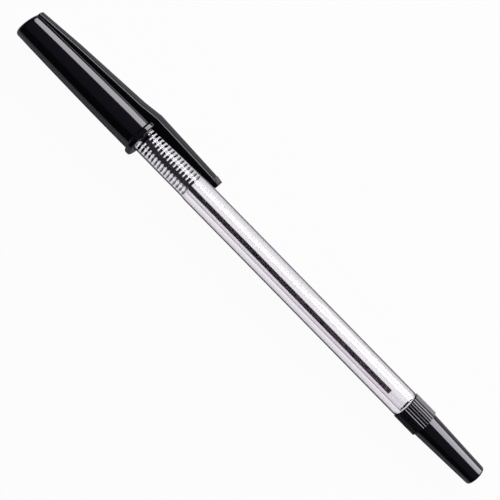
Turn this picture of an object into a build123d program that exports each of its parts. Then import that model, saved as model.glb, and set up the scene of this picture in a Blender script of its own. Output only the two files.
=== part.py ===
from build123d import *
import math
import os

# Stick ballpoint pen with its cap on, in millimetres.
# The pen's axis is X: the cap and the writing point are towards -X, the tail is towards +X.
# The origin is on the axis, at the middle of the plain shank of the barrel. +Z is up.

# Barrel
BARREL_DIAMETER = 7.2
BORE_DIAMETER = 4.0
SHANK_LENGTH = 71.7
SHANK_CHAMFER = 0.45
SHOULDER_LENGTH = 1.0
BORE_END_LENGTH = 0.8
GRIP_RELIEF = 0.12
GRIP_LEAD = 0.4
GRIP_BORE_DIAMETER = 3.5
GROOVE_COUNT = 16
GROOVE_PITCH = 1.05
GROOVE_WIDTH = 0.65
GROOVE_DEPTH = 0.3
LAND_STEP = 0.2
LAND_LENGTH = 13.55
NOSE_LENGTH = 10.25
NOSE_DIAMETER = 4.2
NECK_STEP = 0.7

# Cap with its clip and mouth ring
GRIP_SHOWN = 15.95
CAP_BORE_CLEARANCE = 0.17
CAP_LAND_CLEARANCE = 0.03
CAP_MOUTH_WALL = 1.17
CAP_END_BORE_DIAMETER = 5.0
CAP_END_WALL = 1.5
CAP_END_THICKNESS = 3.0
CAP_END_OFFSET = 0.49
CAP_END_SLANT = 10.0
TIP_ROOM = 2.7
RING_WIDTH = 1.5
RING_HEIGHT = 0.72
RING_CHAMFER = 0.45
CLIP_END_SETBACK = 0.2
CLIP_END_STEP = 0.41
CLIP_SWELL_PLACE = 13.5
CLIP_SWELL_RISE = 1.07
CLIP_REACH = 20.4
CLIP_KNEE_SETBACK = 0.7
CLIP_KNEE_FACET = 5.0
CLIP_KNEE_RISE = 2.14
CLIP_FACET_DROP = 0.7
CLIP_BEVEL_LENGTH = 2.0
CLIP_BEVEL_THICKNESS = 1.52
CLIP_TIP_THICKNESS = 1.08
CLIP_CLEARANCE = 0.35
CLIP_LEAD = 0.9
CLIP_END_WIDTH = 2.0
CLIP_KNEE_WIDTH = 3.0
CLIP_TIP_WIDTH = 2.6
CLIP_EDGE_ROUND = 0.25
CLIP_TURN = 30.0

# End plug
COLLAR_STEP = 0.22
COLLAR_LENGTH = 6.15
FLUTE_COUNT = 32
FLUTE_WIDTH = 0.44
FLUTE_DEPTH = 0.2
SOCKET_ROOM = 0.3
SOCKET_FLOOR = 0.6
TAIL_STEP = 0.42
TAIL_LENGTH = 17.6
TAIL_END_DIAMETER = 5.45
TAIL_CHAMFER = 0.5
TAIL_WALL = 1.2

# Refill: holder, metal point, ball, tube and ink
STEM_DIAMETER = 2.4
STEM_SHOWN = 1.6
HEAD_LENGTH = 4.5
HEAD_ROOT_DIAMETER = 3.8
HEAD_FRONT_DIAMETER = 2.9
CHANNEL_DIAMETER = 0.7
TUBE_DIAMETER = 1.5
TUBE_WALL = 0.39
TUBE_SEAT = 4.0
TUBE_TAIL = 1.5
TUBE_LEAN = 0.55
TUBE_BEND_LENGTH = 5.0
INK_SETBACK = 5.1
POINT_DIAMETER = 2.3
POINT_CONE_LENGTH = 3.1
POINT_BAND_LENGTH = 1.5
POINT_SHANK_DIAMETER = 1.6
POINT_SHANK_LENGTH = 4.0
POINT_RIM_WALL = 0.15
POINT_CHANNEL_DIAMETER = 0.5
BALL_DIAMETER = 1.0
BALL_PROUD = 0.3

# Clearances, all radial
SEAT_CLEARANCE = 0.02
INK_CLEARANCE = 0.01
BALL_CLEARANCE = 0.015

# Radii that more than one piece uses
barrel_r = BARREL_DIAMETER / 2
bore_r = BORE_DIAMETER / 2
grip_r = barrel_r - GRIP_RELIEF
land_r = grip_r - LAND_STEP
grip_bore_r = GRIP_BORE_DIAMETER / 2
nose_r = NOSE_DIAMETER / 2
neck_r = barrel_r - NECK_STEP
collar_r = barrel_r + COLLAR_STEP
stem_r = STEM_DIAMETER / 2
tube_r = TUBE_DIAMETER / 2
ball_r = BALL_DIAMETER / 2
cup_r = ball_r + BALL_CLEARANCE
cap_bore_r = grip_r + CAP_BORE_CLEARANCE
cap_mouth_r = cap_bore_r + CAP_MOUTH_WALL
cap_end_bore_r = CAP_END_BORE_DIAMETER / 2
cap_end_r = cap_end_bore_r + CAP_END_WALL

# Places along the axis, from the shank outwards
shank_front = -SHANK_LENGTH / 2
shank_rear = SHANK_LENGTH / 2
grip_rear = shank_front - SHOULDER_LENGTH
grip_front = grip_rear - GROOVE_COUNT * GROOVE_PITCH
land_front = grip_front - LAND_LENGTH
nose_front = land_front - NOSE_LENGTH
head_front = nose_front - HEAD_LENGTH
rim = head_front - POINT_BAND_LENGTH - POINT_CONE_LENGTH
ball_x = rim + ball_r - BALL_PROUD
cap_floor = rim - BALL_PROUD - TIP_ROOM
cap_end = cap_floor - CAP_END_THICKNESS
cap_mouth = grip_rear - GRIP_SHOWN
stem_rear = grip_front + STEM_SHOWN
tube_front = stem_rear - TUBE_SEAT
collar_rear = shank_rear + COLLAR_LENGTH
socket_rear = collar_rear - SOCKET_FLOOR
neck_rear = socket_rear - SOCKET_ROOM
tail_rear = collar_rear + TAIL_LENGTH
tube_rear = neck_rear + TUBE_TAIL
ink_rear = shank_rear - INK_SETBACK


def turned(*edges):
    """Solid of revolution about the pen's axis, from a closed outline of (x, radius) edges."""
    return revolve(make_face(Curve() + list(edges)), Axis.X, 360)


def turned_polygon(*points):
    """Solid of revolution about the pen's axis, from a closed polygon of (x, radius) points."""
    return turned(Polyline(*points, close=True))


def rod(x0, x1, radius):
    """Plain round rod along the axis."""
    return turned_polygon((x0, 0), (x1, 0), (x1, radius), (x0, radius))


def groove_points():
    """Bore of the grip, front to rear: narrow lands with V grooves between them."""
    points = []
    for i in range(GROOVE_COUNT):
        start = grip_front + i * GROOVE_PITCH
        end = start + GROOVE_PITCH
        points += [
            (start, grip_bore_r),
            (end - GROOVE_WIDTH, grip_bore_r),
            (end - GROOVE_WIDTH / 2, grip_bore_r + GROOVE_DEPTH),
        ]
    return points


def barrel():
    """Clear barrel: nose, land for the cap, grip with ring grooves in its bore, shank and rear neck."""
    front_bore_r = stem_r + SEAT_CLEARANCE
    bore_front = grip_rear + BORE_END_LENGTH
    outside = Polyline(
        (nose_front, front_bore_r),
        (nose_front, nose_r),
        (land_front, land_r),
        (grip_front, land_r),
        (grip_front + GRIP_LEAD, grip_r),
        (grip_rear, grip_r),
        (shank_front, barrel_r),
        (shank_rear - SHANK_CHAMFER, barrel_r),
        (shank_rear, barrel_r - SHANK_CHAMFER),
        (shank_rear, neck_r),
        (neck_rear, neck_r),
        (neck_rear, bore_r),
        (bore_front, bore_r),
    )
    bore_end = TangentArc((bore_front, bore_r), (grip_rear, grip_bore_r), tangent=(-1, 0))
    front_bore = Polyline(
        (grip_rear, grip_bore_r),
        *reversed(groove_points()),
        (grip_front, front_bore_r),
        (nose_front, front_bore_r),
    )
    return turned(outside, bore_end, front_bore)


def slanted_end(y):
    """Place of the cap's slanted closed end at the height y on the clip side."""
    return cap_end + (y + cap_end_r + CAP_END_OFFSET) * math.tan(math.radians(CAP_END_SLANT))


def cap_body():
    """Outside of the cap: a cone that leans away from the clip, cut at a slant at its closed end."""
    slant = math.radians(CAP_END_SLANT)
    length = cap_mouth - RING_WIDTH / 2 - cap_end
    lean = Plane(origin=(cap_end, -CAP_END_OFFSET, 0), z_dir=(length, CAP_END_OFFSET, 0))
    cone = Cone(cap_end_r, cap_mouth_r, length, align=(Align.CENTER, Align.CENTER, Align.MIN))
    end = Plane(origin=(slanted_end(0), 0, 0), z_dir=(math.cos(slant), -math.sin(slant), 0))
    return split(lean * cone, bisect_by=end, keep=Keep.TOP)


def cap_ring():
    """Bead at the mouth of the cap."""
    start = cap_mouth - RING_WIDTH
    top_r = cap_mouth_r + RING_HEIGHT
    return turned_polygon(
        (start, cap_bore_r),
        (start, top_r - RING_CHAMFER),
        (start + RING_CHAMFER, top_r),
        (cap_mouth - RING_CHAMFER, top_r),
        (cap_mouth, top_r - RING_CHAMFER),
        (cap_mouth, cap_bore_r),
    )


def clip_side(knee, tip, knee_y):
    """Side outline of the clip: a fin that rises to the knee, then a free tongue that tapers."""
    under_y = barrel_r + CLIP_CLEARANCE
    tip_under_y = under_y + CLIP_LEAD
    bevel_under_y = tip_under_y - CLIP_LEAD * CLIP_BEVEL_LENGTH / CLIP_REACH
    start_y = cap_end_r - CAP_END_OFFSET + CLIP_END_STEP
    return Polyline(
        (slanted_end(start_y) + CLIP_END_SETBACK, start_y),
        (cap_end + CLIP_SWELL_PLACE, start_y + CLIP_SWELL_RISE),
        (knee - CLIP_KNEE_FACET, knee_y - CLIP_FACET_DROP),
        (knee, knee_y),
        (tip - CLIP_BEVEL_LENGTH, bevel_under_y + CLIP_BEVEL_THICKNESS),
        (tip, tip_under_y + CLIP_TIP_THICKNESS),
        (tip, tip_under_y),
        (cap_mouth, under_y),
        (cap_mouth, cap_end_bore_r),
        (slanted_end(cap_end_bore_r) + CLIP_END_SETBACK, cap_end_bore_r),
        close=True,
    )


def clip_plan(knee, tip):
    """Plan outline of the clip, seen from its outer face."""
    side = [
        (cap_end, CLIP_END_WIDTH / 2),
        (knee, CLIP_KNEE_WIDTH / 2),
        (tip, CLIP_TIP_WIDTH / 2),
    ]
    other_side = [(x, -z) for x, z in reversed(side)]
    return Polyline(*side, *other_side, close=True)


def cap_clip():
    """Clip: its side and plan outlines crossed, with the long outer edges rounded."""
    knee = cap_mouth - CLIP_KNEE_SETBACK
    tip = cap_mouth + CLIP_REACH
    knee_y = cap_mouth_r + CLIP_KNEE_RISE
    fin = extrude(make_face(clip_side(knee, tip, knee_y)), CLIP_KNEE_WIDTH, both=True)
    leaf = extrude(Plane.XZ * make_face(clip_plan(knee, tip)), knee_y * 2, both=True)
    clip = fin & leaf
    outer_faces = [f for f in clip.faces() if f.normal_at().Y > 0.5]
    long_edges = [e for f in outer_faces for e in f.edges() if abs(e.tangent_at(0.5).X) > 0.5]
    return fillet(long_edges, CLIP_EDGE_ROUND)


def cap_hollow():
    """Inside of the cap: room for the grip, a bore that grips the plain land, room for the point."""
    cap_land_r = land_r + CAP_LAND_CLEARANCE
    return turned_polygon(
        (cap_floor, 0),
        (cap_floor, cap_end_bore_r),
        (nose_front, cap_end_bore_r),
        (nose_front, cap_land_r),
        (grip_front, cap_land_r),
        (grip_front, cap_bore_r),
        (cap_mouth, cap_bore_r),
        (cap_mouth, 0),
    )


def cap():
    """Cap, clip and ring as one moulding, turned to the angle that it has on the barrel."""
    moulding = cap_body() + cap_ring() + cap_clip() - cap_hollow()
    return Rot(CLIP_TURN, 0, 0) * moulding


def collar_flutes():
    """Cutters for the V grooves along the collar of the end plug."""
    groove = Polyline(
        (collar_r - FLUTE_DEPTH, 0),
        (collar_r + FLUTE_DEPTH, FLUTE_WIDTH),
        (collar_r + FLUTE_DEPTH, -FLUTE_WIDTH),
        close=True,
    )
    front = Plane(origin=(shank_rear, 0, 0), x_dir=(0, 1, 0), z_dir=(1, 0, 0))
    cutter = extrude(front * make_face(groove), COLLAR_LENGTH)
    return [Rot(360 * i / FLUTE_COUNT, 0, 0) * cutter for i in range(FLUTE_COUNT)]


def end_plug():
    """Rear plug: a fluted collar over the barrel's neck and a hollow tapered tail."""
    root_r = collar_r - TAIL_STEP
    end_r = TAIL_END_DIAMETER / 2
    tail = turned_polygon(
        (socket_rear, 0),
        (socket_rear, root_r),
        (collar_rear, root_r),
        (tail_rear - TAIL_CHAMFER, end_r),
        (tail_rear, end_r - TAIL_CHAMFER),
        (tail_rear, 0),
    )
    socket = rod(shank_rear, socket_rear, neck_r + SEAT_CLEARANCE)
    core = rod(socket_rear, tail_rear - TAIL_WALL, end_r - TAIL_WALL)
    return rod(shank_rear, collar_rear, collar_r) - collar_flutes() + tail - socket - core


def tip_holder():
    """Dark stem in the grip: carries the point in its head and the ink tube in its rear."""
    head = turned_polygon(
        (head_front, 0),
        (head_front, HEAD_FRONT_DIAMETER / 2),
        (nose_front, HEAD_ROOT_DIAMETER / 2),
        (nose_front, 0),
    )
    point_r = POINT_SHANK_DIAMETER / 2 + SEAT_CLEARANCE
    point_socket = rod(head_front, head_front + POINT_SHANK_LENGTH, point_r)
    tube_socket = rod(tube_front, stem_rear, tube_r + SEAT_CLEARANCE)
    channel = rod(head_front, stem_rear, CHANNEL_DIAMETER / 2)
    return head + rod(nose_front, stem_rear, stem_r) - point_socket - tube_socket - channel


def point():
    """Turned metal point: shank, band, cone, ball cup and ink channel."""
    point_r = POINT_DIAMETER / 2
    shank_r = POINT_SHANK_DIAMETER / 2
    mouth_r = math.sqrt(cup_r**2 - (ball_x - rim) ** 2)
    shank_end = head_front + POINT_SHANK_LENGTH
    solid = turned_polygon(
        (rim, 0),
        (rim, mouth_r + POINT_RIM_WALL),
        (head_front - POINT_BAND_LENGTH, point_r),
        (head_front, point_r),
        (head_front, shank_r),
        (shank_end, shank_r),
        (shank_end, 0),
    )
    cup = Pos(ball_x, 0, 0) * Sphere(cup_r)
    return solid - cup - rod(ball_x, shank_end, POINT_CHANNEL_DIAMETER / 2)


def ball():
    """Writing ball."""
    return Pos(ball_x, 0, 0) * Sphere(ball_r)


def along_tube(radius, rear):
    """Round rod from the holder to the place rear, along the tube's line: it leans in the bore."""
    line = Polyline(
        (tube_front, 0),
        (stem_rear, 0),
        (stem_rear + TUBE_BEND_LENGTH, -TUBE_LEAN),
        (rear, -TUBE_LEAN),
    )
    section = Plane(origin=(tube_front, 0, 0), z_dir=(1, 0, 0)) * Circle(radius)
    return sweep(section, path=line, transition=Transition.RIGHT)


def ink_tube():
    """Clear tube from the holder to the end plug."""
    return along_tube(tube_r, tube_rear) - along_tube(tube_r - TUBE_WALL, tube_rear)


def ink():
    """Ink column in the tube."""
    return along_tube(tube_r - TUBE_WALL - INK_CLEARANCE, ink_rear)


os.makedirs("parts", exist_ok=True)
for make in (cap, barrel, end_plug, tip_holder, point, ball, ink_tube, ink):
    export_step(make(), f"parts/{make.__name__}.step")
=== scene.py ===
import math

import bmesh
import bpy
from mathutils import Matrix, Vector


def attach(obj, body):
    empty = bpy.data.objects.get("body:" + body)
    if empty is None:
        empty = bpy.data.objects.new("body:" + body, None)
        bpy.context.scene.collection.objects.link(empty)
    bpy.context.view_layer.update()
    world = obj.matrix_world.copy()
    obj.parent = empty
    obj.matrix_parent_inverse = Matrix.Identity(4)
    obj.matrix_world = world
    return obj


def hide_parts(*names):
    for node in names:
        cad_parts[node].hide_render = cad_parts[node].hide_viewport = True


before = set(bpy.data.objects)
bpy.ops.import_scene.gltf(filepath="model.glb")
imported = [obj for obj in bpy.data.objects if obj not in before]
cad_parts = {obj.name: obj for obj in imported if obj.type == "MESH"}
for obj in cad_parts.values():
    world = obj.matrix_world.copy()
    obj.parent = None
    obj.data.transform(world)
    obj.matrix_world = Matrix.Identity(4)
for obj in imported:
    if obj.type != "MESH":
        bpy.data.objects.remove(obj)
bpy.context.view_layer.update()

# The pen is modelled in millimetres, as in the CAD source, and each finished mesh is scaled to metres.
MM = 0.001

# Barrel: places along the pen's axis, then radii, the grooves in the grip's bore, and roundings
NOSE_FRONT, LAND_FRONT, GRIP_FRONT, GRIP_REAR = -77.45, -67.2, -53.65, -36.85
SHANK_FRONT, SHANK_REAR, NECK_REAR = -35.85, 35.85, 41.1
NOSE_R, LAND_R, GRIP_R, BARREL_R, NECK_R = 2.1, 3.28, 3.48, 3.6, 2.9
BORE_R, GRIP_BORE_R, FRONT_BORE_R = 2.0, 1.75, 1.22
GRIP_LEAD, BORE_END_LENGTH = 0.4, 0.8
GROOVE_COUNT, GROOVE_PITCH, GROOVE_WIDTH, GROOVE_DEPTH = 16, 1.05, 0.65, 0.3
NOSE_CURVE, NOSE_ROUND, SHOULDER_ROUND, SHANK_ROUND, NECK_ROUND = 3.0, 0.3, 0.4, 0.66, 0.15

# Cap: places, radii, the lean and slant of its closed end, its bores, its ring, and roundings
CAP_END, CAP_FLOOR, CAP_MOUTH = -92.55, -89.55, -52.8
CAP_END_R, CAP_MOUTH_R, CAP_SWELL, CAP_END_OFFSET = 4.0, 4.82, 0.14, 0.49
CAP_END_SLANT = math.radians(10)
CAP_END_BORE_R, CAP_LAND_BORE_R, CAP_BORE_R = 2.5, 3.31, 3.65
RING_WIDTH, RING_R = 1.5, 5.54
CAP_END_ROUND, MOUTH_ROUND = 0.9, 0.12
RING_ROUND, RING_MOUTH_ROUND, RING_ROOT_ROUND = 0.55, 0.35, 0.12
CAP_STEPS = 8

# Clip: stations of place, underside and outer face, on the cap's +Y side before it is turned
CLIP_KNEE, CLIP_TIP = -53.5, -32.4
CLIP_STATIONS = (
    (-90.87, 3.0, 3.92),
    (-79.05, 3.2, 4.99),
    (-58.5, 3.45, 6.26),
    (CLIP_KNEE, 3.8, 6.96),
    (CAP_MOUTH, 3.95, 6.935),
    (-34.4, 4.762, 6.282),
    (CLIP_TIP, 4.85, 5.93),
)
CLIP_CORNERS = 4
CLIP_END_WIDTH, CLIP_KNEE_WIDTH, CLIP_TIP_WIDTH = 2.0, 3.0, 2.6
CLIP_EDGE_ROUND, CLIP_TIP_ROUND = 0.4, 0.1
CLIP_TURN = math.radians(30)
# A face of the clip counts as facing a side when this much of its normal points there.
FACING = 0.5

# End plug: the tool that hollows it starts a little before the collar, for a clean cut.
COLLAR_R, COLLAR_REAR, SOCKET_REAR, SOCKET_R = 3.82, 42.0, 41.4, 2.92
FLUTE_COUNT, FLUTE_WIDTH, FLUTE_DEPTH, FLUTE_ROUND = 32, 0.44, 0.2, 0.05
TAIL_ROOT_R, TAIL_END_R, TAIL_REAR, TAIL_END_ROUND = 3.4, 2.725, 59.6, 0.45
TAIL_WALL = 1.2
HOLLOW_OVERCUT = 1.0

# Tip holder
HEAD_FRONT, STEM_REAR, STEM_R = -81.95, -52.05, 1.2
HEAD_FRONT_R, HEAD_ROOT_R, CHANNEL_R = 1.45, 1.9, 0.35
HEAD_FRONT_ROUND, HEAD_ROOT_ROUND, STEM_ROUND = 0.2, 0.15, 0.15
SEAT_CLEARANCE = 0.02

# Ink tube and ink. The ink reaches just into the tube's wall, so that no film of air shows between them.
TUBE_FRONT, TUBE_REAR, TUBE_R, TUBE_WALL = -56.05, 42.6, 0.75, 0.39
TUBE_LEAN, TUBE_BEND_LENGTH, TUBE_BEND_STEPS = 0.55, 5.0, 16
INK_REAR, INK_WETTING = 30.75, 0.04

# Point and ball
RIM, BALL_X, BALL_R, CUP_R, CUP_STEPS = -86.55, -86.35, 0.5, 0.515, 12
POINT_R, POINT_RIM_WALL, POINT_BAND_LENGTH = 1.15, 0.15, 1.5
POINT_SHANK_R, POINT_SHANK_LENGTH, POINT_CHANNEL_R = 0.8, 4.0, 0.25
POINT_EDGE_ROUND, POINT_CONE_ROUND, POINT_SHANK_ROUND = 0.05, 0.1, 0.1
BALL_SEGMENTS, BALL_RINGS = 64, 32

# Fineness of the meshes
TURN_SEGMENTS = 144
ROUND_SEGMENTS, FINE_ROUND_SEGMENTS, CLIP_EDGE_SEGMENTS, CAP_END_SEGMENTS = 6, 3, 4, 8
SHARP_ANGLE = math.radians(32)
MERGE_DISTANCE = 0.001

# Sockets of a Mix node that mixes colours
MIX_SHARE, MIX_A, MIX_B, MIX_RESULT = 0, 6, 7, 2
NOISE_DETAIL = 2.0
# The bands of a Wave texture repeat at this length over its scale.
WAVE_REPEAT = math.tau / 20
TOOL_RING_SPACING = 0.1

# How far the barrel's surface has turned from the eye, from 0 to 1 at its outline, where the lilac tint and
# the painted shade start and where they are full. The painted shade is a near-black tint at the outline that
# stands in for the dark room seen through the glass's edges.
LILAC_START, LILAC_FULL = 0.1, 0.36
PAINTED_SHADE_START, PAINTED_SHADE_FULL = 0.5, 0.64
# How far to the side the barrel's surface lies, as a share of its radius, where the painted shade at the
# outline is allowed first and in full
PAINTED_SHADE_FLANK_START, PAINTED_SHADE_FLANK_FULL = 0.72, 0.85

# Table: where the cap's ring and the plug's collar rest on it as (x, z), and its size in metres
RING_TOUCH = (-53.5, -RING_R)
COLLAR_TOUCH = (41.7, -COLLAR_R)
TABLE_SIZE = 8.0
# Share of plain white that the table adds for what the camera sees, for reflections and through clear pieces
WHITE_SEEN, WHITE_REFLECTED, WHITE_THROUGH = 0.96, 0.08, 1.0

# Lamps and camera
PANEL_TINT, OVERHEAD_TINT = "#FBF5FF", "#C8D0FF"
PANEL_RADIANCE, OVERHEAD_RADIANCE = 9.5, 0.12
CAMERA_AT = (-16.4 * MM, -0.7 * MM, 240 * MM)
CAMERA_TURN = math.radians(45.6)
LENS = 72.6


def bevelled(bm, geom, offset, segments=ROUND_SEGMENTS, affect="EDGES"):
    """Rounds edges, or the corners of an outline, off."""
    bmesh.ops.bevel(
        bm, geom=geom, offset=offset, affect=affect, segments=segments, profile=0.5, material=-1,
    )


def drawn_line(bm, outline, closed=False):
    """Line of edges through corners of (place, rounding), with each corner rounded off."""
    corners = [bm.verts.new(place) for place, _ in outline]
    line = corners + corners[:1] if closed else corners
    for start, end in zip(line, line[1:]):
        bm.edges.new((start, end))
    for corner, (_, rounding) in zip(corners, outline):
        if rounding:
            bevelled(bm, [corner], rounding, affect="VERTICES")


def spun(bm, **settings):
    """Turns all that is drawn so far round the pen's axis."""
    bmesh.ops.spin(
        bm, geom=bm.verts[:] + bm.edges[:], cent=(0, 0, 0), axis=(1, 0, 0), angle=math.tau, **settings,
    )
    bmesh.ops.remove_doubles(bm, verts=bm.verts, dist=MERGE_DISTANCE)


def lathe(outline, closed=False):
    """Turned shape about the pen's axis, from corners of (x, radius, rounding)."""
    bm = bmesh.new()
    drawn_line(bm, [((x, 0, r), rounding) for x, r, rounding in outline], closed)
    spun(bm, steps=TURN_SEGMENTS, use_merge=True)
    bmesh.ops.recalc_face_normals(bm, faces=bm.faces)
    return bm


ACROSS = Matrix.Rotation(math.radians(90), 4, "Y")


def ring_place(x, y, radius, slant=0.0):
    """Matrix that puts a unit circle across the pen's axis, sheared to a slant."""
    shear = Matrix.Identity(4)
    shear[0][1] = math.tan(slant)
    return Matrix.Translation((x, y, 0)) @ shear @ ACROSS @ Matrix.Scale(radius, 4)


def section_place(x, under, outer, width):
    """Matrix that makes a unit circle of four corners an upright rectangle across the pen's axis."""
    unit_square = ACROSS @ Matrix.Rotation(math.radians(45), 4, "Z") @ Matrix.Scale(math.sqrt(0.5), 4)
    rectangle = Matrix.Diagonal((1, outer - under, width, 1)) @ unit_square
    return Matrix.Translation((x, (under + outer) / 2, 0)) @ rectangle


def sleeve(places, segments=TURN_SEGMENTS):
    """Open sleeve drawn from a circle through its places. Also gives the ring of edges at each."""
    bm = bmesh.new()
    bmesh.ops.create_circle(bm, radius=1, segments=segments, matrix=places[0])
    rings = [bm.edges[:]]
    for place, next_place in zip(places, places[1:]):
        geom = bmesh.ops.extrude_edge_only(bm, edges=rings[-1])["geom"]
        verts = {part for part in geom if isinstance(part, bmesh.types.BMVert)}
        bmesh.ops.transform(bm, matrix=next_place @ place.inverted(), verts=list(verts))
        edges = [part for part in geom if isinstance(part, bmesh.types.BMEdge)]
        rings.append([edge for edge in edges if verts.issuperset(edge.verts)])
    return bm, rings


def closed_sleeve(places, segments=TURN_SEGMENTS):
    """Sleeve with both ends filled."""
    bm, rings = sleeve(places, segments)
    bmesh.ops.edgeloop_fill(bm, edges=rings[0])
    bmesh.ops.edgeloop_fill(bm, edges=rings[-1])
    bmesh.ops.recalc_face_normals(bm, faces=bm.faces)
    return bm, rings


def to_object(name, bm):
    """Object in metres from a mesh in millimetres."""
    bmesh.ops.scale(bm, vec=(MM, MM, MM), verts=bm.verts)
    mesh = bpy.data.meshes.new(name)
    bm.to_mesh(mesh)
    bm.free()
    obj = bpy.data.objects.new(name, mesh)
    bpy.context.scene.collection.objects.link(obj)
    return obj


def combined(name, first, *others):
    """One object from meshes that are joined to the first ("UNION") or cut from it ("DIFFERENCE")."""
    obj = to_object(name, first)
    tools = []
    for operation, bm in others:
        tool = to_object(name + "_tool", bm)
        tools.append(tool)
        modifier = obj.modifiers.new(operation, "BOOLEAN")
        modifier.operation = operation
        modifier.solver = "EXACT"
        modifier.object = tool
    bpy.context.view_layer.update()
    result = obj.evaluated_get(bpy.context.evaluated_depsgraph_get())
    mesh = bpy.data.meshes.new_from_object(result)
    obj.modifiers.clear()
    obj.data = mesh
    for tool in tools:
        bpy.data.objects.remove(tool)
    return obj


def finished(obj, material, body, node):
    """Smooth shading, material and place in the frame for a piece that stands for a CAD node."""
    mesh = obj.data
    mesh.materials.clear()
    mesh.materials.append(material)
    mesh.shade_smooth()
    mesh.set_sharp_from_angle(angle=SHARP_ANGLE)
    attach(obj, body)
    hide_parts(node)


def barrel():
    """Clear barrel with ring grooves in the bore of its grip."""
    grooves = []
    for i in range(GROOVE_COUNT):
        end = GRIP_FRONT + (i + 1) * GROOVE_PITCH
        grooves += [
            (end - GROOVE_PITCH, GRIP_BORE_R, 0),
            (end - GROOVE_WIDTH, GRIP_BORE_R, 0),
            (end - GROOVE_WIDTH / 2, GRIP_BORE_R + GROOVE_DEPTH, 0),
        ]
    return to_object("clear_barrel", lathe([
        (NOSE_FRONT, FRONT_BORE_R, 0),
        (NOSE_FRONT, NOSE_R, NOSE_ROUND),
        (LAND_FRONT, LAND_R, NOSE_CURVE),
        (GRIP_FRONT, LAND_R, 0),
        (GRIP_FRONT + GRIP_LEAD, GRIP_R, 0),
        (GRIP_REAR, GRIP_R, 0),
        (SHANK_FRONT, BARREL_R, SHOULDER_ROUND),
        (SHANK_REAR, BARREL_R, SHANK_ROUND),
        (SHANK_REAR, NECK_R, 0),
        (NECK_REAR, NECK_R, NECK_ROUND),
        (NECK_REAR, BORE_R, NECK_ROUND),
        (GRIP_REAR + BORE_END_LENGTH / 2, BORE_R, BORE_END_LENGTH / 2),
        (GRIP_REAR, GRIP_BORE_R, 0),
        *reversed(grooves),
        (GRIP_FRONT, FRONT_BORE_R, 0),
    ], closed=True))


def clip_width(x):
    """Width of the clip, which is widest at its knee."""
    if x < CLIP_KNEE:
        share, width = (x - CLIP_KNEE) / (CAP_END - CLIP_KNEE), CLIP_END_WIDTH
    else:
        share, width = (x - CLIP_KNEE) / (CLIP_TIP - CLIP_KNEE), CLIP_TIP_WIDTH
    return CLIP_KNEE_WIDTH + (width - CLIP_KNEE_WIDTH) * share


def clip():
    """Fin that rises from the closed end to the knee, then a free tongue, with its outer edges rounded."""
    bm, rings = closed_sleeve(
        [section_place(x, under, outer, clip_width(x)) for x, under, outer in CLIP_STATIONS], CLIP_CORNERS,
    )
    tip_edges = rings[-1]
    long_edges = [
        edge for edge in bm.edges
        if max(face.normal.y for face in edge.link_faces) > FACING
        and max(abs(face.normal.z) for face in edge.link_faces) > FACING
    ]
    bevelled(bm, tip_edges, CLIP_TIP_ROUND, FINE_ROUND_SEGMENTS)
    bevelled(bm, [edge for edge in long_edges if edge.is_valid], CLIP_EDGE_ROUND, CLIP_EDGE_SEGMENTS)
    return bm


def cap():
    """Cap that leans away from its clip, with a bead round its mouth and a slanted closed end."""
    ring_start = CAP_MOUTH - RING_WIDTH
    end_middle = CAP_END + CAP_END_R * math.tan(CAP_END_SLANT)
    outside = []
    for i in range(CAP_STEPS + 1):
        share = i / CAP_STEPS
        # The swell is full at the middle of the cap and nothing at its ends.
        swell = CAP_SWELL * 4 * share * (1 - share)
        outside.append(ring_place(
            end_middle + (ring_start - end_middle) * share,
            -CAP_END_OFFSET * (1 - share),
            CAP_END_R + (CAP_MOUTH_R - CAP_END_R) * share + swell,
            CAP_END_SLANT * (1 - share),
        ))
    bm, rings = closed_sleeve([
        *outside,
        ring_place(ring_start, 0, RING_R),
        ring_place(CAP_MOUTH, 0, RING_R),
        ring_place(CAP_MOUTH, 0, CAP_BORE_R),
        ring_place(GRIP_FRONT, 0, CAP_BORE_R),
        ring_place(GRIP_FRONT, 0, CAP_LAND_BORE_R),
        ring_place(NOSE_FRONT, 0, CAP_LAND_BORE_R),
        ring_place(NOSE_FRONT, 0, CAP_END_BORE_R),
        ring_place(CAP_FLOOR, 0, CAP_END_BORE_R),
    ])
    ring_root, ring_front, ring_rear, mouth = rings[CAP_STEPS:CAP_STEPS + 4]
    bevelled(bm, rings[0], CAP_END_ROUND, CAP_END_SEGMENTS)
    bevelled(bm, ring_root, RING_ROOT_ROUND, FINE_ROUND_SEGMENTS)
    bevelled(bm, ring_front, RING_ROUND)
    bevelled(bm, ring_rear, RING_MOUTH_ROUND)
    bevelled(bm, mouth, MOUTH_ROUND, FINE_ROUND_SEGMENTS)
    obj = combined("cap_with_clip", bm, ("UNION", clip()))
    obj.data.transform(Matrix.Rotation(CLIP_TURN, 4, "X"))
    return obj


def fluted_collar():
    """Collar with V grooves: one groove, repeated round the axis, filled and drawn out."""
    pitch = math.tau / FLUTE_COUNT
    half_groove = FLUTE_WIDTH / 2 / COLLAR_R
    corners = []
    for angle, r, rounding in (
        (-pitch / 2, COLLAR_R, 0),
        (-half_groove, COLLAR_R, FLUTE_ROUND),
        (0, COLLAR_R - FLUTE_DEPTH, FLUTE_ROUND),
        (half_groove, COLLAR_R, FLUTE_ROUND),
        (pitch / 2, COLLAR_R, 0),
    ):
        corners.append(((SHANK_REAR, r * math.sin(angle), r * math.cos(angle)), rounding))
    bm = bmesh.new()
    drawn_line(bm, corners)
    spun(bm, steps=FLUTE_COUNT, use_duplicate=True)
    end = bmesh.ops.edgeloop_fill(bm, edges=bm.edges[:])["faces"]
    far = bmesh.ops.extrude_face_region(bm, geom=end)["geom"]
    bmesh.ops.translate(
        bm, vec=(COLLAR_REAR - SHANK_REAR, 0, 0),
        verts=[part for part in far if isinstance(part, bmesh.types.BMVert)],
    )
    bmesh.ops.recalc_face_normals(bm, faces=bm.faces)
    return bm


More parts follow.
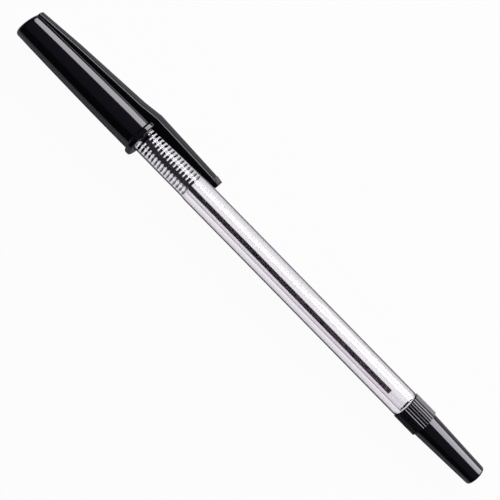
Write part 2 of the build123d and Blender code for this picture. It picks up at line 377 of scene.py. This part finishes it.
def end_plug():
    """Rear plug: the fluted collar with a hollow tapered tail."""
    tail_start = (SOCKET_REAR + COLLAR_REAR) / 2
    tail = lathe([
        (tail_start, 0, 0),
        (tail_start, TAIL_ROOT_R, 0),
        (COLLAR_REAR, TAIL_ROOT_R, 0),
        (TAIL_REAR, TAIL_END_R, TAIL_END_ROUND),
        (TAIL_REAR, 0, 0),
    ])
    hollow_start = SHANK_REAR - HOLLOW_OVERCUT
    core_r = TAIL_END_R - TAIL_WALL
    core_rear = TAIL_REAR - TAIL_WALL
    hollow = lathe([
        (hollow_start, 0, 0),
        (hollow_start, SOCKET_R, 0),
        (SOCKET_REAR, SOCKET_R, 0),
        (SOCKET_REAR, core_r, 0),
        (core_rear, core_r, 0),
        (core_rear, 0, 0),
    ])
    return combined("fluted_end_plug", fluted_collar(), ("UNION", tail), ("DIFFERENCE", hollow))


def along_tube(radius, rear):
    """Places along the ink tube's line, which leans to one side of the bore."""
    places = [ring_place(TUBE_FRONT, 0, radius)]
    for i in range(TUBE_BEND_STEPS + 1):
        share = i / TUBE_BEND_STEPS
        lean = TUBE_LEAN * (1 - math.cos(math.pi * share)) / 2
        places.append(ring_place(STEM_REAR + TUBE_BEND_LENGTH * share, -lean, radius))
    places.append(ring_place(rear, -TUBE_LEAN, radius))
    return places


def ink_tube():
    """Clear tube from the holder to the end plug."""
    bm, _ = sleeve(along_tube(TUBE_R, TUBE_REAR))
    bmesh.ops.recalc_face_normals(bm, faces=bm.faces)
    bmesh.ops.solidify(bm, geom=bm.faces[:], thickness=TUBE_WALL)
    return to_object("clear_ink_tube", bm)


def ink():
    """Ink column, which ends square in the tube."""
    bm, _ = closed_sleeve(along_tube(TUBE_R - TUBE_WALL + INK_WETTING, INK_REAR))
    return to_object("ink_column", bm)


def tip_holder():
    """Dark stem in the nose of the barrel, with a head for the point and a socket for the tube."""
    tube_socket_r = TUBE_R + SEAT_CLEARANCE
    point_socket_r = POINT_SHANK_R + SEAT_CLEARANCE
    point_socket_end = HEAD_FRONT + POINT_SHANK_LENGTH
    return to_object("dark_tip_holder", lathe([
        (HEAD_FRONT, point_socket_r, 0),
        (HEAD_FRONT, HEAD_FRONT_R, HEAD_FRONT_ROUND),
        (NOSE_FRONT, HEAD_ROOT_R, HEAD_ROOT_ROUND),
        (NOSE_FRONT, STEM_R, 0),
        (STEM_REAR, STEM_R, STEM_ROUND),
        (STEM_REAR, tube_socket_r, 0),
        (TUBE_FRONT, tube_socket_r, 0),
        (TUBE_FRONT, CHANNEL_R, 0),
        (point_socket_end, CHANNEL_R, 0),
        (point_socket_end, point_socket_r, 0),
    ], closed=True))


def point():
    """Turned metal point with the cup that holds the ball and the ink channel behind it."""
    mouth_r = math.sqrt(CUP_R**2 - (BALL_X - RIM) ** 2)
    shank_end = HEAD_FRONT + POINT_SHANK_LENGTH
    cup = []
    start = math.acos((RIM - BALL_X) / CUP_R)
    stop = math.asin(POINT_CHANNEL_R / CUP_R)
    for i in range(CUP_STEPS + 1):
        angle = start + (stop - start) * i / CUP_STEPS
        cup.append((BALL_X + CUP_R * math.cos(angle), CUP_R * math.sin(angle), 0))
    return to_object("writing_point", lathe([
        (RIM, mouth_r + POINT_RIM_WALL, POINT_EDGE_ROUND),
        (HEAD_FRONT - POINT_BAND_LENGTH, POINT_R, POINT_CONE_ROUND),
        (HEAD_FRONT, POINT_R, POINT_EDGE_ROUND),
        (HEAD_FRONT, POINT_SHANK_R, 0),
        (shank_end, POINT_SHANK_R, POINT_SHANK_ROUND),
        (shank_end, POINT_CHANNEL_R, 0),
        *reversed(cup),
    ], closed=True))


def ball():
    """Writing ball."""
    bm = bmesh.new()
    bmesh.ops.create_uvsphere(
        bm, u_segments=BALL_SEGMENTS, v_segments=BALL_RINGS, radius=BALL_R,
        matrix=Matrix.Translation((BALL_X, 0, 0)),
    )
    return to_object("writing_ball", bm)


def colour(code):
    """Linear colour from an sRGB hex value."""
    parts = [int(code[i:i + 2], 16) / 255 for i in (1, 3, 5)]
    return [c / 12.92 if c <= 0.04045 else ((c + 0.055) / 1.055) ** 2.4 for c in parts] + [1.0]


def add(tree, kind, values=(), links=(), **settings):
    """Adds a node with its settings, its input values and its links."""
    node = tree.nodes.new(kind)
    for name, value in settings.items():
        setattr(node, name, value)
    for socket, value in dict(values).items():
        node.inputs[socket].default_value = value
    for socket, source in dict(links).items():
        tree.links.new(source, node.inputs[socket])
    return node


def new_material(name):
    """Empty material, its node tree and its Object coordinates."""
    material = bpy.data.materials.new(name)
    material.use_nodes = True
    tree = material.node_tree
    tree.nodes.clear()
    place = add(tree, "ShaderNodeTexCoord").outputs["Object"]
    return material, tree, place


def surface(tree, values, links):
    """Gives a material its surface."""
    shader = add(tree, "ShaderNodeBsdfPrincipled", values, links)
    add(tree, "ShaderNodeOutputMaterial", links={"Surface": shader.outputs["BSDF"]})


def spread(tree, place, size, low=0.0, high=1.0, stretch=(1, 1, 1)):
    """Values from low to high in soft spots of a size in millimetres, longer where stretch is under 1."""
    mapped = add(tree, "ShaderNodeMapping", {"Scale": stretch}, {"Vector": place})
    noise = add(
        tree, "ShaderNodeTexNoise", {"Scale": 1 / (size * MM), "Detail": NOISE_DETAIL},
        {"Vector": mapped.outputs["Vector"]},
    )
    spots = add(tree, "ShaderNodeMapRange", {"To Min": low, "To Max": high}, {"Value": noise.outputs["Fac"]})
    return spots.outputs["Result"]


def black_polystyrene():
    """Polystyrene from a polished mould: deep black, with hard reflections that waver very slightly."""
    material, tree, place = new_material("moulded_black_polystyrene")
    ripple = add(
        tree, "ShaderNodeBump", {"Strength": 0.002, "Distance": 0.3 * MM},
        {"Height": spread(tree, place, size=4.0)},
    )
    gloss = spread(tree, place, size=0.6, low=0.045, high=0.085, stretch=(0.3, 1, 1))
    surface(
        tree, {"Base Color": colour("#060607"), "IOR": 1.5},
        {"Roughness": gloss, "Normal": ripple.outputs["Normal"]},
    )
    return material


def clear_polystyrene():
    """Clear polystyrene: faint grey-lilac where it turns away, with soft flow lines, and painted shade: a
    near-black tint along the outlines of its flanks.
    """
    material, tree, place = new_material("moulded_clear_polystyrene")
    flow_lines = spread(tree, place, size=1.5, stretch=(0.1, 1, 1))
    tint = add(
        tree, "ShaderNodeMix", {MIX_A: colour("#FFFFFF"), MIX_B: colour("#FAF8FB")},
        {MIX_SHARE: flow_lines}, data_type="RGBA",
    )
    turned = add(tree, "ShaderNodeLayerWeight", {"Blend": 0.5}).outputs["Facing"]
    # The painted shade, a near-black tint at the outline, is kept to the two flanks, so that the top of the
    # barrel stays lighter in slanted views.
    radial = add(tree, "ShaderNodeVectorMath", {1: (0, 1, 1)}, {0: place}, operation="MULTIPLY")
    outward = add(tree, "ShaderNodeVectorMath", links={0: radial.outputs["Vector"]}, operation="NORMALIZE")
    axes = add(tree, "ShaderNodeSeparateXYZ", links={"Vector": outward.outputs["Vector"]})
    sideways = add(tree, "ShaderNodeMath", links={0: axes.outputs["Y"]}, operation="ABSOLUTE")
    painted_shade_flank = add(
        tree, "ShaderNodeMapRange", {"From Min": PAINTED_SHADE_FLANK_START, "From Max": PAINTED_SHADE_FLANK_FULL},
        {"Value": sideways.outputs[0]},
    )
    # The second tint is painted shade: near-black edge lines that stand in for the dark room seen in the
    # glass.
    for start, full, code, limit in (
        (LILAC_START, LILAC_FULL, "#CABFCD", {}),
        (PAINTED_SHADE_START, PAINTED_SHADE_FULL, "#0E0D11", {"To Max": painted_shade_flank.outputs["Result"]}),
    ):
        share = add(
            tree, "ShaderNodeMapRange", {"From Min": start, "From Max": full}, {"Value": turned, **limit},
        )
        tint = add(
            tree, "ShaderNodeMix", {MIX_B: colour(code)},
            {MIX_SHARE: share.outputs["Result"], MIX_A: tint.outputs[MIX_RESULT]}, data_type="RGBA",
        )
    surface(
        tree, {"IOR": 1.59, "Transmission Weight": 1.0, "Roughness": 0.0},
        {"Base Color": tint.outputs[MIX_RESULT]},
    )
    return material


def clear_polypropylene():
    """Extruded polypropylene: clear, with faint draw lines along the tube."""
    material, tree, place = new_material("extruded_polypropylene")
    draw_lines = spread(tree, place, size=0.3, stretch=(0.02, 1, 1))
    tint = add(
        tree, "ShaderNodeMix", {MIX_A: colour("#FFFEFF"), MIX_B: colour("#F6F3F8")},
        {MIX_SHARE: draw_lines}, data_type="RGBA",
    )
    surface(
        tree, {"IOR": 1.49, "Transmission Weight": 1.0, "Roughness": 0.0},
        {"Base Color": tint.outputs[MIX_RESULT]},
    )
    return material


def dark_polypropylene():
    """Dark moulded polypropylene: satin, with the fine grain of a spark-cut mould."""
    material, tree, place = new_material("moulded_dark_polypropylene")
    grain = add(
        tree, "ShaderNodeBump", {"Strength": 0.3, "Distance": 0.02 * MM},
        {"Height": spread(tree, place, size=0.12)},
    )
    gloss = spread(tree, place, size=0.5, low=0.22, high=0.34)
    surface(
        tree, {"Base Color": colour("#0C0C12"), "IOR": 1.49},
        {"Roughness": gloss, "Normal": grain.outputs["Normal"]},
    )
    return material


def nickel_silver():
    """Turned nickel silver: warm grey metal, with tool rings that are drawn 0.1 mm apart to show."""
    material, tree, place = new_material("turned_nickel_silver")
    rings = add(
        tree, "ShaderNodeTexWave", {"Scale": WAVE_REPEAT / (TOOL_RING_SPACING * MM), "Distortion": 0.4},
        {"Vector": place}, wave_type="BANDS", bands_direction="X",
    )
    ridges = add(
        tree, "ShaderNodeBump", {"Strength": 0.4, "Distance": 0.01 * MM}, {"Height": rings.outputs["Fac"]},
    )
    gloss = spread(tree, place, size=0.4, low=0.16, high=0.28)
    surface(
        tree, {"Base Color": colour("#C9BFAE"), "Metallic": 1.0},
        {"Roughness": gloss, "Normal": ridges.outputs["Normal"]},
    )
    return material


def carbide():
    """Lapped tungsten carbide: dark bright metal, with faint marks from the lapping plates."""
    material, tree, place = new_material("lapped_tungsten_carbide")
    gloss = spread(tree, place, size=0.1, low=0.06, high=0.14)
    surface(tree, {"Base Color": colour("#8E8E92"), "Metallic": 1.0}, {"Roughness": gloss})
    return material


def oil_ink():
    """Oil ink: near black where the column is full, and a thinner brown-violet towards its rear.

    It wets the tube and bends light about as much, so its own surface neither bends nor mirrors light.
    """
    material, tree, place = new_material("oil_ink")
    axes = add(tree, "ShaderNodeSeparateXYZ", links={"Vector": place})
    along = add(
        tree, "ShaderNodeMapRange", {"From Min": TUBE_FRONT * MM, "From Max": INK_REAR * MM},
        {"Value": axes.outputs["X"]},
    )
    clouds = spread(tree, place, size=3.0, low=-0.15, high=0.15)
    thinned = add(
        tree, "ShaderNodeMath", links={0: along.outputs["Result"], 1: clouds},
        operation="ADD", use_clamp=True,
    )
    tint = add(
        tree, "ShaderNodeMix", {MIX_A: colour("#1C1A20"), MIX_B: colour("#453A3F")},
        {MIX_SHARE: thinned.outputs[0]}, data_type="RGBA",
    )
    surface(
        tree, {"IOR": 1.0, "Transmission Weight": 1.0, "Roughness": 0.0},
        {"Base Color": tint.outputs[MIX_RESULT]},
    )
    return material


def white_paper():
    """Matt paper, pale grey for the light that it throws on the pen, and white for rays that show it."""
    material, tree, _ = new_material("white_paper")
    ray = add(tree, "ShaderNodeLightPath").outputs
    share = add(tree, "ShaderNodeMath", {1: WHITE_SEEN}, {0: ray["Is Camera Ray"]}, operation="MULTIPLY")
    for kind, amount in (("Is Glossy Ray", WHITE_REFLECTED), ("Is Transmission Ray", WHITE_THROUGH)):
        share = add(
            tree, "ShaderNodeMath", {1: amount}, {0: ray[kind], 2: share.outputs[0]},
            operation="MULTIPLY_ADD", use_clamp=True,
        )
    paper = add(tree, "ShaderNodeBsdfDiffuse", {"Color": colour("#ACACAE")})
    white = add(tree, "ShaderNodeEmission", {"Color": colour("#FFFFFF"), "Strength": 1.0})
    mix = add(
        tree, "ShaderNodeMixShader",
        links={0: share.outputs[0], 1: paper.outputs["BSDF"], 2: white.outputs["Emission"]},
    )
    add(tree, "ShaderNodeOutputMaterial", links={"Surface": mix.outputs["Shader"]})
    return material


def table():
    """White table, tilted a degree so that both the cap's ring and the plug's collar rest on it."""
    slope = math.atan2(COLLAR_TOUCH[1] - RING_TOUCH[1], COLLAR_TOUCH[0] - RING_TOUCH[0])
    bm = bmesh.new()
    bmesh.ops.create_grid(bm, x_segments=1, y_segments=1, size=TABLE_SIZE / 2 / MM)
    bmesh.ops.rotate(bm, cent=(0, 0, 0), matrix=Matrix.Rotation(-slope, 3, "Y"), verts=bm.verts)
    bmesh.ops.translate(bm, vec=(RING_TOUCH[0], 0, RING_TOUCH[1]), verts=bm.verts)
    obj = to_object("white_table", bm)
    obj.data.materials.append(white_paper())


def lamp(name, place, width, height, radiance, tint):
    """Soft rectangular lamp of a given radiance, aimed at the pen. Its size and place are in metres."""
    data = bpy.data.lights.new(name, "AREA")
    data.shape = "RECTANGLE"
    data.size, data.size_y = width, height
    data.energy = radiance * math.pi * width * height
    data.color = colour(tint)[:3]
    obj = bpy.data.objects.new(name, data)
    bpy.context.scene.collection.objects.link(obj)
    obj.location = place
    obj.rotation_euler = Vector(place).to_track_quat("Z", "Y").to_euler()
    obj.visible_camera = False
    obj.visible_transmission = False


def studio():
    """Dark room that is white for the camera alone."""
    world = bpy.data.worlds.new("dark_studio")
    world.use_nodes = True
    tree = world.node_tree
    tree.nodes.clear()
    seen = add(tree, "ShaderNodeLightPath").outputs["Is Camera Ray"]
    shade = add(
        tree, "ShaderNodeMix", {MIX_A: colour("#2E2C32"), MIX_B: colour("#FFFFFF")}, {MIX_SHARE: seen},
        data_type="RGBA",
    )
    room = add(tree, "ShaderNodeBackground", links={"Color": shade.outputs[MIX_RESULT]})
    add(tree, "ShaderNodeOutputWorld", links={"Surface": room.outputs["Background"]})
    bpy.context.scene.world = world


def camera():
    """Camera that looks straight down on the pen, turned so that the pen lies as in the photograph."""
    data = bpy.data.cameras.new("camera")
    data.lens = LENS
    obj = bpy.data.objects.new("camera", data)
    obj.location = CAMERA_AT
    obj.rotation_euler = (0, 0, CAMERA_TURN)
    bpy.context.scene.collection.objects.link(obj)
    bpy.context.scene.camera = obj


black = black_polystyrene()
finished(barrel(), clear_polystyrene(), "pen", "barrel")
finished(cap(), black, "cap", "cap")
finished(end_plug(), black, "pen", "end_plug")
finished(tip_holder(), dark_polypropylene(), "pen", "tip_holder")
finished(point(), nickel_silver(), "pen", "point")
finished(ball(), carbide(), "ball", "ball")
finished(ink_tube(), clear_polypropylene(), "pen", "ink_tube")
finished(ink(), oil_ink(), "pen", "ink")

table()
lamp(
    "softbox", place=(0, 0.479, 0.361), width=0.8, height=0.367,
    radiance=PANEL_RADIANCE, tint=PANEL_TINT,
)
lamp(
    "tail_panel", place=(0.22, 0.59, 0.104), width=0.28, height=0.21,
    radiance=PANEL_RADIANCE, tint=PANEL_TINT,
)
lamp(
    "overhead", place=(0, 0, 0.9), width=1.4, height=1.4,
    radiance=OVERHEAD_RADIANCE, tint=OVERHEAD_TINT,
)
studio()
camera()
bpy.context.scene.view_settings.view_transform = "Standard"

bpy.context.view_layer.update()
